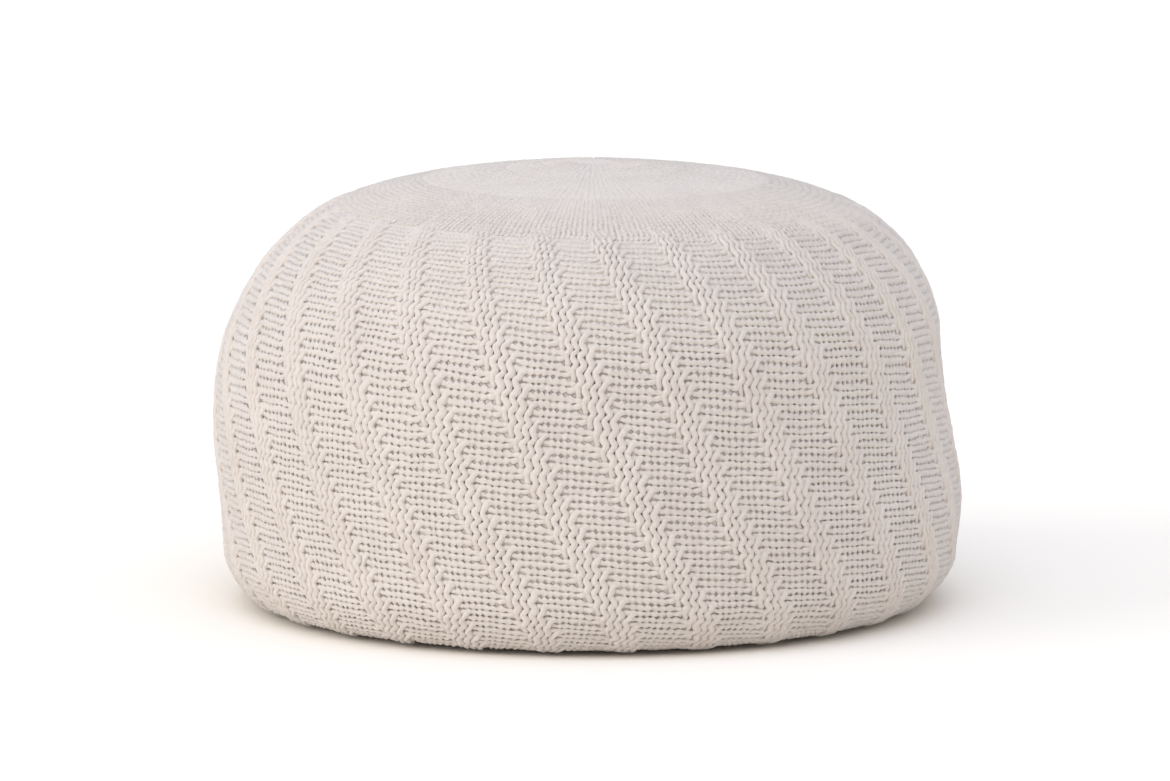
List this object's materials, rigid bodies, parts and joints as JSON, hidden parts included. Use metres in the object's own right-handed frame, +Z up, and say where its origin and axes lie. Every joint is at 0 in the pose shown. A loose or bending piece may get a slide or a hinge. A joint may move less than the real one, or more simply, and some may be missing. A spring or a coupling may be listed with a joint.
{
  "type": "knitted pouf",
  "caption": "Low round floor pouf: one filled knitted cover with a domed plain crown, slanting raised ribs down the side and a flat base.",
  "frame": {"origin": "centre of the bounding box at floor level, on the flat base", "axes": "+Z up through the crown; the pictured front faces -Y, with +X at its right"},
  "size_m": [0.5514, 0.5486, 0.3255],
  "materials": {
    "cotton_knit": "matte"
  },
  "bodies": {
    "root": {"knitted_pouf": "cotton_knit"}
  },
  "joints": []
}
